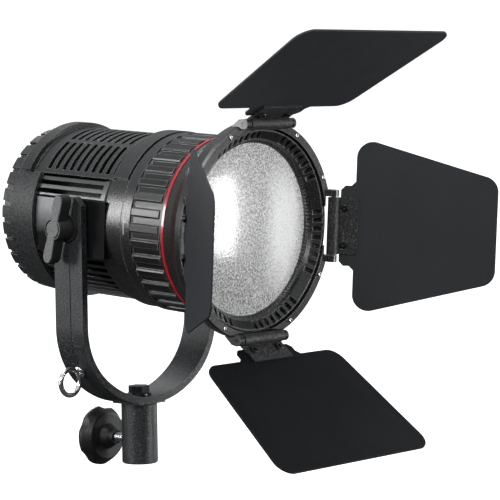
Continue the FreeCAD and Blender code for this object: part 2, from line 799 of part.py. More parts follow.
def make_focus():
    ring = turned("focus_ring", [
        ("focus_rear", "focus_inner"), ("focus_rear", "focus_base + 0.7"),
        ("focus_rear + 0.8", "focus_base + 0.7"),
        ("focus_rear + 1", "focus_base"), ("focus_front - 2.4", "focus_base"),
        ("focus_front - 2.2", "focus_base + 1.2"), ("focus_front - 0.4", "focus_base + 1.2"),
        ("focus_front", "focus_base + 0.8"), ("focus_front", "focus_inner"),
    ])
    rib = sketch(ring, "XZ_Plane", "focus_rear + 0.4")
    outline(rib, [
        ("-rib_width / 2", "focus_base - 0.5"), ("rib_width / 2", "focus_base - 0.5"),
        ("rib_width / 2 - 0.3", "rib_radius - 0.7"), ("rib_top / 2", "rib_radius"),
        ("-rib_top / 2", "rib_radius"), ("-rib_width / 2 + 0.3", "rib_radius - 0.7"),
    ])
    first = pad(ring, rib, "focus_front - focus_rear - 3.4")
    repeat(ring, [first], 36)

    guide = turned("focus_guide", [
        ("collar_front", "guide_inner"), ("collar_front", "guide_outer"),
        ("lens_rear - 4", "guide_outer"), ("lens_rear - 4", "guide_inner"),
    ])
    slot = sketch(guide, "XY_Plane")
    rectangle(slot, -2.2, "-carriage_rear - carriage_wall - 27", 2.2, "-carriage_rear + 0.6")
    cut = pocket(guide, slot, "guide_outer + 2", reverse=True)
    repeat(guide, [cut], 3)


def make_optics():
    module = body("led_module", "beam")
    block(module, -19, 19, "sink_front + 0.02", "sink_front + 2", -19, 19)
    disc(module, 12, "sink_front + 1.9", 1.2)
    turned("led_reflector", [
        ("sink_front + 3.3", "13.5"), ("sink_front + 3.3", "14.5"), ("sink_front + 24", "33"),
        ("sink_front + 24.8", "32.4"), ("sink_front + 4", "13.2"),
    ])
    rods = body("guide_rods", "beam")
    drawing = sketch(rods, "XZ_Plane", "collar_rear + 3.25")
    for index in range(3):
        angle = math.radians(30 + 120 * index)
        circle(
            drawing, "rod_radius",
            f"rod_circle * {math.cos(angle):.6f}", f"rod_circle * {math.sin(angle):.6f}",
        )
    pad(rods, drawing, "lens_rear - 2.85 - collar_rear - 3.25")

    carriage = turned("lens_carriage", [
        ("carriage_rear", "condenser - 2"), ("carriage_rear", "guide_inner - 0.6"),
        ("carriage_rear + carriage_wall", "guide_inner - 0.6"),
        ("carriage_rear + carriage_wall", "condenser + 0.1"),
        ("carriage_rear + 1.2", "condenser + 0.1"), ("carriage_rear + 1.2", "condenser - 2"),
    ])
    bushes = sketch(carriage, "XZ_Plane", "carriage_rear - 1")
    for index in range(3):
        angle = math.radians(30 + 120 * index)
        circle(
            bushes, "rod_radius + 0.06",
            f"rod_circle * {math.cos(angle):.6f}", f"rod_circle * {math.sin(angle):.6f}",
        )
    pocket(carriage, bushes, "carriage_wall + 2", reverse=True)
    pins = body("follower_pins", "beam")
    pin = sketch(pins, "XY_Plane", "guide_inner - 0.55")
    circle(pin, 1.8, 0, "-carriage_rear - carriage_wall / 2")
    first = pad(pins, pin, 1.9)
    repeat(pins, [first], 3)
    dome("condenser_lens", size("carriage_rear") + 1.25, 3.0, size("condenser"), 9.0, 0.0)


def dome(label, rear, edge, radius, rise, flange):
    """A plano-convex lens: a flat back, a short edge, a shoulder and a spherical front."""
    made = body(label, "beam")
    drawing = sketch(made, "YZ_Plane")
    dome_edge = radius - flange
    front = rear + edge
    sphere = (dome_edge ** 2 + rise ** 2) / (2 * rise)
    bend = math.asin(dome_edge / sphere) / 2
    centre = front + rise - sphere
    corners = [(rear, 0), (rear, radius), (front, radius)]
    if flange > 0:
        corners.append((front, dome_edge))
    middle = (centre + sphere * math.cos(bend), sphere * math.sin(bend))
    points = [Vector(-forward, high, 0) for forward, high in corners]
    edges = [Part.LineSegment(points[i], points[i + 1]) for i in range(len(points) - 1)]
    pole = Vector(-front - rise, 0, 0)
    edges.append(Part.Arc(points[-1], Vector(-middle[0], middle[1], 0), pole))
    edges.append(Part.LineSegment(pole, points[0]))
    for edge_line in edges:
        drawing.addGeometry(edge_line, False)
    revolve(made, drawing, "H_Axis")
    return made


def make_front():
    turned("accent_ring", [
        ("focus_front + 0.6", "focus_base + 1.2"), ("focus_front + 0.6", "focus_base + 2.1"),
        ("focus_front + 2.5", "focus_base + 2.1"), ("focus_front + 2.5", "focus_base + 1.2"),
    ])
    turned("lens_barrel", [
        ("focus_front + 0.5", "guide_outer + 0.05"), ("focus_front + 0.5", "focus_base + 1.15"),
        ("focus_front + 2.6", "focus_base + 1.15"), ("focus_front + 2.7", "focus_base + 1.7"),
        ("focus_front + 10", "focus_base + 3.2"), ("barrel_step - 1.2", "barrel_neck + 1.9"),
        ("barrel_step", "barrel_neck + 1.9"), ("barrel_step", "barrel_neck"), ("barrel_front", "barrel_neck"),
        ("barrel_front", "lens_edge + 0.3"), ("lens_rear - 0.1", "lens_edge + 0.3"),
        ("lens_rear - 0.1", "46"),
        ("lens_rear - 2.8", "46"), ("lens_rear - 2.8", "guide_outer + 0.05"),
    ])
    lens = dome(
        "fresnel_lens", size("lens_rear"), size("lens_wall"), size("lens_edge"),
        size("dome_rise"), size("lens_edge") - size("dome_radius"),
    )
    steps = sketch(lens, "YZ_Plane")
    for radius in (20, 29, 38, 47):
        outline(steps, [
            ("-lens_rear + 1", radius), ("-lens_rear + 1", radius + 7), ("-lens_rear - 1.6", radius + 7),
        ])
    revolve(lens, steps, "H_Axis", kind="PartDesign::Groove")

    retainer = turned("lens_retainer", [
        ("lens_rear + lens_wall + 0.05", "dome_radius + 0.4"),
        ("lens_rear + lens_wall + 0.05", "lens_edge + 0.2"),
        ("barrel_front + 0.05", "lens_edge + 0.2"), ("barrel_front + 0.05", "ring_lip - 0.5"),
        ("barrel_front + 3.4", "ring_lip - 0.5"), ("barrel_front + 6.6", "ring_lip - 1.2"),
        ("barrel_front + 6.6", "ring_lip - 2.2"), ("barrel_front + 2.2", "lens_edge + 1"),
    ])
    slots = sketch(retainer, "XZ_Plane", "barrel_front + 1.8")
    for index in range(8):
        outline(slots, radial_slot(110 + 5.3 * (index - 3.5), 61.0, 66.2, 1.7))
    cut = pocket(retainer, slots, 8, reverse=True)
    repeat(retainer, [cut], 6)


# ---------------------------------------------------------------- barn doors
def make_door_ring():
    ring = turned("barndoor_ring", [
        ("barrel_step + 0.3", "ring_bore"),
        ("barrel_step + 0.3", "ring_outer - 3"),
        ("barrel_step + 2.4", "ring_outer - 1.2"),
        ("ring_front - 2.4", "ring_outer"),
        ("ring_front", "ring_outer - 0.5"),
        ("ring_front", "ring_lip"),
        ("barrel_front - 0.1", "ring_lip"),
        ("barrel_front - 0.7", "ring_bore"),
    ])
    flat = block_cut(
        ring, "-lug_inner + 0.1", "lug_inner - 0.1", "ring_front - 5.4", "ring_front + 1",
        "flat_height", "ring_outer + 3",
    )
    originals = [flat]
    for low in ("lug_inner", "-lug_outer"):
        drawing = sketch(ring, "YZ_Plane", low)
        outline(drawing, [
            ("-ring_front + 7.4", "flat_height - 0.3"), ("-ring_front + 0.5", "flat_height - 0.3"),
            ("-door_forward + 1.5", "door_axis - 3.1"), ("-door_forward - 1.5", "door_axis - 1"),
            ("-door_forward", "door_axis + lug_nose"), ("-ring_front + 0.9", "door_axis + 3"),
            ("-ring_front + 6.9", "door_axis - 1.8"),
        ])
        originals.append(pad(ring, drawing, "lug_outer - lug_inner"))
        nose = sketch(ring, "YZ_Plane", low)
        circle(nose, "lug_nose", "-door_forward", "door_axis")
        originals.append(pad(ring, nose, "lug_outer - lug_inner"))
    bore = sketch(ring, "YZ_Plane", "-lug_outer - 1")
    circle(bore, "pin_hole", "-door_forward", "door_axis")
    originals.append(pocket(ring, bore, "2 * lug_outer + 2", reverse=True))
    repeat(ring, originals, 4)

    pins = body("hinge_pins", "beam")
    drawing = sketch(pins, "YZ_Plane", "-lug_outer + 0.2")
    circle(drawing, "pin_radius", "-door_forward", "door_axis")
    first = pad(pins, drawing, "2 * lug_outer - 0.4")
    repeat(pins, [first], 4)

    screws = body("ring_screws", "beam")
    drawing = sketch(screws, "XZ_Plane", "ring_front + 0.02")
    for index in range(4):
        for side in (-28, 28):
            angle = math.radians(90 * index + side)
            circle(drawing, 1.5, f"70.8 * {math.cos(angle):.6f}", f"70.8 * {math.sin(angle):.6f}")
    pad(screws, drawing, 0.7)


def door_frame(name):
    """The frame of one door: X along its hinge, Y away from the leaf's beam side, Z along the leaf."""
    place, opening, _, _ = DOORS[name]
    turn = Rotation(Vector(1, 0, 0), size("rest_tilt"))
    pivot = Vector(0, 0, size("pivot_height"))
    tilt = Placement(pivot + turn.multVec(Vector(0, 0, size("beam_lift"))), turn)
    station = Placement(Vector(), Rotation(Vector(0, 1, 0), 90 - place))
    axis = Vector(0, -size("door_forward"), size("door_axis"))
    hinge = Placement(axis, Rotation(Vector(1, 0, 0), 90 - opening))
    return tilt.multiply(station).multiply(hinge)


def make_door(name):
    _, _, near, far = DOORS[name]
    place = door_frame(name)
    leaf = body(f"door_{name}_leaf", place)
    drawing = sketch(leaf, "XZ_Plane", "-(roll_radius + 0.05 + leaf_wall)")
    outline(drawing, [
        ("-tab_half + 3", "tab_edge"), ("tab_half - 3", "tab_edge"), ("tab_half", "tab_edge + 3"),
        ("tab_half", "leaf_edge - 3"), ("tab_half + 3", "leaf_edge"),
        (near / 2, "leaf_edge"), (far / 2, "leaf_end"), (-far / 2, "leaf_end"), (-near / 2, "leaf_edge"),
        ("-tab_half - 3", "leaf_edge"), ("-tab_half", "leaf_edge - 3"), ("-tab_half", "tab_edge + 3"),
    ])
    sheet_pad = pad(leaf, drawing, "leaf_wall")
    doc.recompute()
    corners = []
    for index, edge in enumerate(sheet_pad.Shape.Edges, start=1):
        ends = [vertex.Point for vertex in edge.Vertexes]
        if len(ends) == 2 and abs(ends[0].y - ends[1].y) > 0.5 and abs(ends[0].x) > size("tab_half") + 5:
            corners.append(f"Edge{index}")
    round_off = leaf.newObject("PartDesign::Fillet", "rounding")
    round_off.Base = (sheet_pad, corners)
    drive(round_off, "Radius", "corner_radius")
    holes = sketch(leaf, "XZ_Plane", "-(roll_radius + leaf_wall + 1)")
    for sign in ("", "-"):
        circle(holes, 1.6, f"{sign}screw_across", "screw_along")
    pocket(leaf, holes, 4, reverse=True)

    bracket = body(f"door_{name}_bracket", place)
    plate = sketch(bracket, "YZ_Plane", "-bracket_half")
    rectangle(plate, "bracket_low", "0", "roll_radius", "bracket_length")
    pad(bracket, plate, "2 * bracket_half")
    roll = sketch(bracket, "YZ_Plane", "-bracket_half")
    circle(roll, "roll_radius")
    pad(bracket, roll, "2 * bracket_half")
    bore = sketch(bracket, "YZ_Plane", "-bracket_half - 1")
    circle(bore, "pin_hole")
    pocket(bracket, bore, "2 * bracket_half + 2", reverse=True)
    hole = sketch(bracket, "XZ_Plane", "-(roll_radius + 1)")
    for sign in ("", "-"):
        circle(hole, 1.6, f"{sign}screw_across", "screw_along")
    pocket(bracket, hole, 4, reverse=True)

    screws = body(f"door_{name}_screws", place)
    shank = ("1.5", "-(roll_radius + leaf_wall + 2.2)", "leaf_wall + 4.6")
    head = ("2.8", "-(bracket_low - 0.02)", "1.3")
    nut = ("2.7", "-(roll_radius + leaf_wall + 2.1)", "2.03")
    for radius, start, length in (shank, head, nut):
        drawing = sketch(screws, "XZ_Plane", start)
        for sign in ("", "-"):
            circle(drawing, radius, f"{sign}screw_across", "screw_along")
        pad(screws, drawing, length)


def main():
    make_yoke()
    make_socket()
    make_socket_bolt()
    make_eye()
    make_lock_knob()
    make_lever()
    make_rear()
    make_rear_controls()
    make_heatsink()
    make_sides()
    make_vent_cover()
    make_collar()
    make_focus()
    make_optics()
    make_front()
    make_door_ring()
    for name in DOORS:
        make_door(name)
    doc.recompute()
    failed = [item.Name for item in doc.Objects if "Invalid" in item.State or "Error" in item.State]
    for piece in PIECES:
        if piece.Shape.isNull() or not piece.Shape.isValid() or not piece.Shape.Solids:
            failed.append(piece.Label)
    if failed:
        raise SystemExit("not built: " + ", ".join(failed))
    os.makedirs("parts", exist_ok=True)
    for piece in PIECES:
        piece.Shape.exportStep(f"parts/{piece.Label}.step")
        print(piece.Label, len(piece.Shape.Solids), round(piece.Shape.Volume, 1))


main()
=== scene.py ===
import json
import math

import bmesh
import bpy
from mathutils import Matrix, Vector


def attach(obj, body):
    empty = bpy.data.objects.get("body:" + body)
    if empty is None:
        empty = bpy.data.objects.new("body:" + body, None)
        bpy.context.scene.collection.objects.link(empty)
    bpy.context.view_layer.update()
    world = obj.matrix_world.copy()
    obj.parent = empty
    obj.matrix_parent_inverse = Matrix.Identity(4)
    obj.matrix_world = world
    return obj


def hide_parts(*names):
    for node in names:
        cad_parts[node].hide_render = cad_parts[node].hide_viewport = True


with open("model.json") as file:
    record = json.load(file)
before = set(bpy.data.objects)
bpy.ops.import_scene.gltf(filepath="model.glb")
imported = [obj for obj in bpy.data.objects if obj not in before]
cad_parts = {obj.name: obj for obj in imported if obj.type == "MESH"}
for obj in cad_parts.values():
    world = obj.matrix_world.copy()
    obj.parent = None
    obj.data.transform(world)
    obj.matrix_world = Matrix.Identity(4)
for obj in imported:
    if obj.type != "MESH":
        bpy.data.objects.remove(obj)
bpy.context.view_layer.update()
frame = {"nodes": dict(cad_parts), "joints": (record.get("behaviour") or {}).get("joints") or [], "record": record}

MM = 0.001
NODES = frame["nodes"]
JOINTS = {joint["name"]: joint for joint in frame["joints"]}
SLOTS = {part["node"]: part["material_slot"] for part in frame["record"]["subparts"]}

ACROSS = Vector((1, 0, 0))
FORWARD = Vector(JOINTS["ring_turn"]["axis"]).normalized()
UP = Vector((0, FORWARD.z, -FORWARD.y))
RING_STATION = 110.0 * MM
ORIGIN = Vector(JOINTS["ring_turn"]["pos_m"]) - FORWARD * RING_STATION
PIVOT = Vector(JOINTS["tilt"]["pos_m"])


def axes(x, y, z, place):
    """A placement whose local axes are x, y and z."""
    return Matrix.Translation(place) @ Matrix((x, y, z)).transposed().to_4x4()


BEAM = axes(ACROSS, UP, FORWARD, ORIGIN)


def station(angle, radius, forward):
    """A placement on the lamp head: local z forward, local x outward at that angle round the beam."""
    turn = math.radians(angle)
    out = ACROSS * math.cos(turn) + UP * math.sin(turn)
    return axes(out, FORWARD.cross(out), FORWARD, ORIGIN + FORWARD * forward + out * radius)


# ---------------------------------------------------------------- finishes
class Finish:
    """One node material round a Principled shader, with procedural detail in object space."""

    def __init__(self, name):
        self.material = bpy.data.materials.new(name)
        self.material.use_nodes = True
        self.tree = self.material.node_tree
        self.shader = self.tree.nodes["Principled BSDF"]
        self.place = self.node("ShaderNodeTexCoord").outputs["Object"]

    def node(self, kind, **settings):
        made = self.tree.nodes.new(kind)
        for key, value in settings.items():
            setattr(made, key, value)
        return made

    def feed(self, socket, value):
        if isinstance(value, (int, float, tuple)):
            socket.default_value = value
        else:
            self.tree.links.new(value, socket)

    def stretched(self, x, y, z):
        """Object space scaled along each axis."""
        made = self.node("ShaderNodeMapping")
        self.feed(made.inputs["Vector"], self.place)
        made.inputs["Scale"].default_value = (x, y, z)
        return made.outputs["Vector"]

    def noise(self, size, detail=2.0, place=None, rough=0.55):
        """Noise from 0 to 1 whose features are about `size` across."""
        made = self.node("ShaderNodeTexNoise")
        self.feed(made.inputs["Vector"], place or self.place)
        made.inputs["Scale"].default_value = 1 / size
        made.inputs["Detail"].default_value = detail
        made.inputs["Roughness"].default_value = rough
        return made.outputs["Fac"]

    def cells(self, size, feature="SMOOTH_F1"):
        """Distance to the nearest of scattered points about `size` apart."""
        made = self.node("ShaderNodeTexVoronoi", feature=feature)
        self.feed(made.inputs["Vector"], self.place)
        made.inputs["Scale"].default_value = 1 / size
        return made.outputs["Distance"]

    def remap(self, value, low, high, to_low=0.0, to_high=1.0):
        made = self.node("ShaderNodeMapRange")
        self.feed(made.inputs["Value"], value)
        limits = {"From Min": low, "From Max": high, "To Min": to_low, "To Max": to_high}
        for key, number in limits.items():
            made.inputs[key].default_value = number
        return made.outputs["Result"]

    def spread(self, noise, to_low, to_high):
        """A noise from 0.3 to 0.7, where most of it lies, stretched over another range."""
        return self.remap(noise, 0.3, 0.7, to_low, to_high)

    def sum(self, a, b, operation="ADD"):
        """Two values added, or joined by another operation."""
        made = self.node("ShaderNodeMath", operation=operation)
        self.feed(made.inputs[0], a)
        self.feed(made.inputs[1], b)
        return made.outputs[0]

    def mix(self, factor, a, b):
        """Colour a at factor 0 and colour b at factor 1."""
        made = self.node("ShaderNodeMix", data_type="RGBA")
        self.feed(made.inputs["Factor"], factor)
        self.feed(made.inputs[6], a)
        self.feed(made.inputs[7], b)
        return made.outputs[2]

    def bevel(self, radius):
        made = self.node("ShaderNodeBevel", samples=4)
        made.inputs["Radius"].default_value = radius
        return made.outputs["Normal"]

    def edges(self, soft):
        """1 along the sharp edges and 0 on the faces."""
        dot = self.node("ShaderNodeVectorMath", operation="DOT_PRODUCT")
        self.feed(dot.inputs[0], soft)
        self.feed(dot.inputs[1], self.node("ShaderNodeNewGeometry").outputs["Normal"])
        return self.remap(dot.outputs["Value"], *EDGE_WEAR_AND_HIGHLIGHT)

    def relief(self, height, distance, normal=None):
        made = self.node("ShaderNodeBump")
        made.inputs["Strength"].default_value = 1.0
        made.inputs["Distance"].default_value = distance
        self.feed(made.inputs["Height"], height)
        if normal is not None:
            self.feed(made.inputs["Normal"], normal)
        return made.outputs["Normal"]

    def set(self, **sockets):
        for key, value in sockets.items():
            self.feed(self.shader.inputs[key.replace("_", " ")], value)
        return self.material


EDGE_WEAR_AND_HIGHLIGHT = (0.985, 0.82)
WAVE_SPACING = 0.314


def grey(level, cool=0.0):
    """A grey colour, tinted towards blue by `cool`."""
    return (level * (1 - cool), level, level * (1 + cool), 1.0)


def coat(name, base, fleck, grain, relief, rough, flecks=(0.56, 0.74), edge=0.0, soft=0.35,
         metal=0.0, cool=0.03, specular=0.5, clear=0.0):
    """A painted, moulded or anodised skin: flecked grain, slow tone changes, and edges lightened towards `edge`,
    partly as rubbed wear and partly as a painted highlight.

    `base` and `fleck` are grey levels, `grain` and `relief` are the size and height of the grain and
    `soft` the radius of the rounded edges, all three in millimetres.  `rough` and `flecks` are ranges.
    """
    made = Finish(name)
    fine = made.noise(grain * MM, 3.0)
    slow = made.noise(28 * MM, 3.0)
    colour = made.mix(made.remap(fine, *flecks), grey(base, cool), grey(fleck, cool))
    colour = made.mix(made.spread(slow, 0.0, 0.5), colour, grey(base * 0.7, cool))
    rounded = made.bevel(soft * MM)
    # Lighter edges: partly rubbed wear in patches, partly a painted highlight along every sharp edge.
    if edge:
        patches = made.remap(made.noise(6 * MM, 2.0), 0.3, 0.6, 0.4, 1.0)
        edge_wear_and_highlight = made.sum(made.edges(rounded), patches, "MULTIPLY")
        colour = made.mix(edge_wear_and_highlight, colour, grey(edge, cool))
    tone = made.sum(made.spread(fine, 0.0, 0.5), made.spread(slow, 0.0, 0.5))
    normal = made.relief(fine, relief * MM, rounded)
    return made.set(
        Base_Color=colour, Roughness=made.remap(tone, 0.0, 1.0, *rough), Normal=normal, Metallic=metal,
        Specular_IOR_Level=specular, Coat_Weight=clear, Coat_Roughness=0.12,
    )


def metal(name, colour, rough, streak, wear=0.6, grain=0.012):
    """Bare metal with fine drawn or turned streaks and duller patches."""
    made = Finish(name)
    lines = made.noise(0.25 * MM, 3.0, made.stretched(*streak))
    patch = made.noise(5 * MM, 3.0)
    dull = tuple(channel * wear for channel in colour[:3]) + (1.0,)
    tint = made.mix(made.remap(patch, 0.4, 0.75, 0.0, 0.6), colour, dull)
    tone = made.sum(made.spread(lines, 0.0, 0.6), made.spread(patch, 0.0, 0.4))
    normal = made.relief(lines, grain * MM, made.bevel(0.25 * MM))
    return made.set(
        Base_Color=tint, Metallic=1.0, Roughness=made.remap(tone, 0.0, 1.0, *rough), Normal=normal,
    )


def rear_leather():
    """The rear half of the body: a leathery cast grain under satin black, with its edges painted light grey as a
    painted highlight.
    """
    made = Finish("body_cast")
    big = made.cells(1.7 * MM)
    fine = made.noise(0.6 * MM, 3.0)
    rounded = made.bevel(0.4 * MM)
    colour = made.mix(made.remap(big, 0.1, 0.6), grey(0.045, 0.04), grey(0.012, 0.04))
    # Painted highlight: the edges are painted light grey.
    colour = made.mix(made.edges(rounded), colour, grey(0.32, 0.02))
    height = made.sum(big, made.sum(fine, 0.5, "MULTIPLY"))
    return made.set(
        Base_Color=colour, Roughness=made.spread(fine, 0.30, 0.48),
        Normal=made.relief(height, 0.10 * MM, rounded), Specular_IOR_Level=0.6,
    )


def lens_finish():
    """Frosted stepped glass: a granular front with faint rings, and a painted glow to the right: a pale patch
    painted in where light shows through the lens.
    """
    made = Finish("lens_glass")
    grain = made.cells(1.5 * MM)
    fine = made.noise(1.25 * MM, 3.0, rough=0.7)
    slow = made.noise(22 * MM, 2.0)
    rings = made.node("ShaderNodeTexWave", wave_type="RINGS", rings_direction="Z")
    rings.inputs["Scale"].default_value = WAVE_SPACING / (2.6 * MM)
    rings.inputs["Distortion"].default_value = 0.4
    made.feed(rings.inputs["Vector"], made.place)
    grained = made.sum(grain, made.sum(fine, 0.8, "MULTIPLY"))
    height = made.sum(grained, made.sum(rings.outputs["Fac"], 0.18, "MULTIPLY"))
    light = made.mix(made.remap(fine, 0.42, 0.60), grey(0.24, 0.0), grey(0.86, 0.0))
    colour = made.mix(made.remap(slow, 0.35, 0.65, 0.0, 0.3), light, grey(0.50, 0.0))
    # Painted glow: a pale patch right of centre, painted in as light shining through the lens, its edge broken up
    # by streaks.
    away = made.node("ShaderNodeVectorMath", operation="DISTANCE")
    made.feed(away.inputs[0], made.stretched(1.0, 0.55, 0.0))
    made.feed(away.inputs[1], (30 * MM, 0.0, 0.0))
    painted_glow_streaks = made.noise(0.9 * MM, 2.0, made.stretched(0.12, 1.0, 1.0))
    painted_glow_reach = made.sum(away.outputs["Value"], made.sum(painted_glow_streaks, 16 * MM, "MULTIPLY"))
    painted_glow = made.remap(painted_glow_reach, 18 * MM, 36 * MM, 0.95, 0.0)
    colour = made.mix(painted_glow, colour, grey(1.0, 0.0))
    return made.set(
        Base_Color=colour, Roughness=made.spread(fine, 0.22, 0.36),
        Normal=made.relief(height, 0.16 * MM), Transmission_Weight=0.12, IOR=1.5,
        Coat_Weight=0.9, Coat_Roughness=0.10, Coat_Normal=made.relief(height, 0.04 * MM),
    )


def clear_finish(name, tint, rough):
    """Clear glass with a faint film."""
    made = Finish(name)
    film = made.noise(9 * MM, 3.0)
    dull = tuple(channel * 0.9 for channel in tint[:3]) + (1.0,)
    colour = made.mix(made.remap(film, 0.35, 0.7), tint, dull)
    return made.set(
        Base_Color=colour, Roughness=made.spread(film, rough, rough + 0.05),
        Transmission_Weight=0.92, IOR=1.5, Normal=made.bevel(0.3 * MM),
    )


def lever_finish():
    """Grey grained lever with painted light and shade: the face turned to the left painted lit grey, the other
    faces painted as shaded near-black.
    """
    made = Finish("lever_grey")
    fine = made.noise(0.7 * MM, 3.0)
    painted_light_facing = made.node("ShaderNodeSeparateXYZ")
    made.feed(painted_light_facing.inputs[0], made.node("ShaderNodeNewGeometry").outputs["Normal"])
    # Painted light and shade: faces turned to the left are painted lit grey, the rest painted as shaded black.
    face = made.remap(painted_light_facing.outputs["X"], -0.55, -0.92)
    painted_lit_face = made.mix(made.remap(fine, 0.42, 0.66), grey(0.085, 0.02), grey(0.20, 0.02))
    painted_shaded_faces = made.mix(made.remap(fine, 0.4, 0.7), grey(0.016, 0.02), grey(0.035, 0.02))
    rounded = made.bevel(0.4 * MM)
    return made.set(
        Base_Color=made.mix(face, painted_shaded_faces, painted_lit_face), Roughness=made.spread(fine, 0.42, 0.62),
        Normal=made.relief(fine, 0.10 * MM, rounded),
    )


def red_finish():
    """Glossy red enamel."""
    made = Finish("accent_red")
    film = made.noise(3 * MM, 3.0)
    colour = made.mix(made.remap(film, 0.3, 0.7), (0.62, 0.010, 0.018, 1.0), (0.40, 0.004, 0.010, 1.0))
    return made.set(
        Base_Color=colour, Roughness=made.spread(film, 0.16, 0.30),
        Normal=made.bevel(0.3 * MM), Coat_Weight=0.5, Coat_Roughness=0.08,
    )


def gloss_with_painted_highlight():
    """Polished side panel with a painted highlight: satin grey towards the top, running to deep black."""
    made = Finish("side_gloss")
    film = made.noise(4 * MM, 3.0)
    height = made.node("ShaderNodeSeparateXYZ")
    made.feed(height.inputs[0], made.place)
    level = made.sum(height.outputs["Z"], made.sum(film, 4 * MM, "MULTIPLY"))
    # Painted highlight: the panel is painted lighter towards its top, as a reflection of the lights.
    share = made.remap(level, PIVOT.z - 2 * MM, PIVOT.z + 16 * MM)
    return made.set(
        Base_Color=made.mix(share, grey(0.008, 0.03), grey(0.26, 0.03)),
        Roughness=made.spread(film, 0.08, 0.16), Normal=made.bevel(0.35 * MM),
        Coat_Weight=0.8, Coat_Roughness=0.12,
    )


def board_finish():
    """A green circuit board with raised copper areas."""
    made = Finish("board_green")
    tracks = made.cells(3.2 * MM, feature="F1")
    fine = made.noise(0.8 * MM, 2.0)
    colour = made.mix(made.remap(tracks, 0.25, 0.32), (0.02, 0.10, 0.05, 1.0), (0.03, 0.20, 0.09, 1.0))
    return made.set(
        Base_Color=colour, Roughness=made.spread(fine, 0.25, 0.45),
        Normal=made.relief(tracks, 0.05 * MM),
    )


def phosphor_finish():
    """The yellow face of the LED module, in small dies."""
    made = Finish("led_yellow")
    dies = made.cells(1.6 * MM, feature="F1")
    fine = made.noise(0.5 * MM, 2.0)
    colour = made.mix(made.remap(dies, 0.2, 0.5), (0.80, 0.62, 0.12, 1.0), (0.62, 0.48, 0.10, 1.0))
    return made.set(
        Base_Color=colour, Roughness=made.spread(fine, 0.35, 0.6),
        Normal=made.relief(dies, 0.05 * MM),
    )


FINISHES = {
    "yoke_black": coat(
        "yoke_black", 0.009, 0.12, 0.95, 0.20, (0.32, 0.52), (0.50, 0.68), edge=0.16, cool=0.10,
    ),
    "body_black": coat(
        "body_black", 0.009, 0.036, 0.8, 0.05, (0.22, 0.34), (0.50, 0.70), edge=0.34, soft=0.5,
        specular=0.8,
    ),
    "body_cast": rear_leather(),
    "body_dull": coat("body_dull", 0.002, 0.006, 0.6, 0.03, (0.55, 0.70), edge=0.08, specular=0.12),
    "door_black": coat(
        "door_black", 0.022, 0.039, 0.45, 0.020, (0.50, 0.64), edge=0.12, cool=0.16, specular=0.4,
    ),
    "door_shaded": coat(
        "door_shaded", 0.004, 0.008, 0.45, 0.020, (0.54, 0.66), edge=0.10, cool=0.18,
        specular=0.10,
    ),
    "bracket_black": coat(
        "bracket_black", 0.007, 0.10, 1.2, 0.26, (0.46, 0.66), (0.50, 0.66), edge=0.06,
        specular=0.4,
    ),
    "sink_metal": coat("sink_metal", 0.16, 0.24, 0.5, 0.02, (0.26, 0.42), metal=1.0, cool=0.01),
    "side_gloss": gloss_with_painted_highlight(),
    "lever_grey": lever_finish(),
    "knob_black": coat(
        "knob_black", 0.005, 0.032, 0.7, 0.10, (0.34, 0.52), (0.52, 0.72), edge=0.05, soft=0.6,
    ),
    # The light grey along the focus ring's rib edges is a painted highlight.
    "rubber_black": coat(
        "rubber_black", 0.005, 0.014, 0.5, 0.03, (0.26, 0.40), edge=0.50, soft=0.7, specular=0.6,
    ),
    "accent_red": red_finish(),
    "chrome": metal("chrome", (0.95, 0.95, 0.96, 1.0), (0.12, 0.22), (0.2, 0.2, 0.2), 0.85, grain=0.002),
    "steel": metal("steel", (0.62, 0.63, 0.65, 1.0), (0.18, 0.32), (1.0, 0.2, 1.0)),
    "steel_black": metal("steel_black", (0.060, 0.062, 0.068, 1.0), (0.20, 0.36), (1.0, 0.3, 1.0)),
    "brass": metal("brass", (0.70, 0.50, 0.20, 1.0), (0.20, 0.34), (1.0, 0.2, 1.0)),
    "lens_glass": lens_finish(),
    "condenser_glass": clear_finish("condenser_glass", (0.93, 0.95, 0.96, 1.0), 0.03),
    "window_glass": coat("window_glass", 0.006, 0.009, 3.0, 0.001, (0.05, 0.10), clear=1.0),
    "board_green": board_finish(),
    "led_yellow": phosphor_finish(),
    "reflector_bright": metal(
        "reflector_bright", (0.88, 0.88, 0.88, 1.0), (0.06, 0.14), (1.0, 1.0, 0.3), 0.9,
    ),
    "plastic_black": coat("plastic_black", 0.015, 0.040, 0.6, 0.05, (0.38, 0.55), edge=0.05),
    "mark_white": coat("mark_white", 0.62, 0.72, 0.4, 0.01, (0.40, 0.55), cool=0.0),
}
# Nodes whose look differs from their slot's.  Little light reaches the lower door in the studio
# shot, so its finish is darker than the other doors'.
NODE_FINISHES = {
    "rear_ring": "body_cast", "pivot_housing_left": "body_dull", "pivot_housing_right": "body_dull",
    "door_bottom_leaf": "door_shaded",
}

for name, node in NODES.items():
    finish = NODE_FINISHES.get(name, SLOTS[name])
    if not node.data.materials:
        node.data.materials.append(None)
    for slot in node.material_slots:
        slot.material = FINISHES[finish]


# ---------------------------------------------------------------- mesh helpers
def loft(bm, rows, place, count=48, closed=False):
    """Skin over rows of (radius, height): a radius may be a function of the angle and the height."""
    loops = []
    for radius, height in rows:
        loop = []
        for index in range(count):
            angle = math.tau * index / count
            reach = radius(angle, height) if callable(radius) else radius
            point = Vector((reach * math.cos(angle), reach * math.sin(angle), height))
            loop.append(bm.verts.new(place @ point))
        loops.append(loop)
    pairs = list(zip(loops, loops[1:]))
    if closed:
        pairs.append((loops[-1], loops[0]))
    for low, high in pairs:
        for index in range(count):
            after = (index + 1) % count
            bm.faces.new((low[index], low[after], high[after], high[index]))
    if not closed:
        bm.faces.new(list(reversed(loops[0])))
        bm.faces.new(loops[-1])


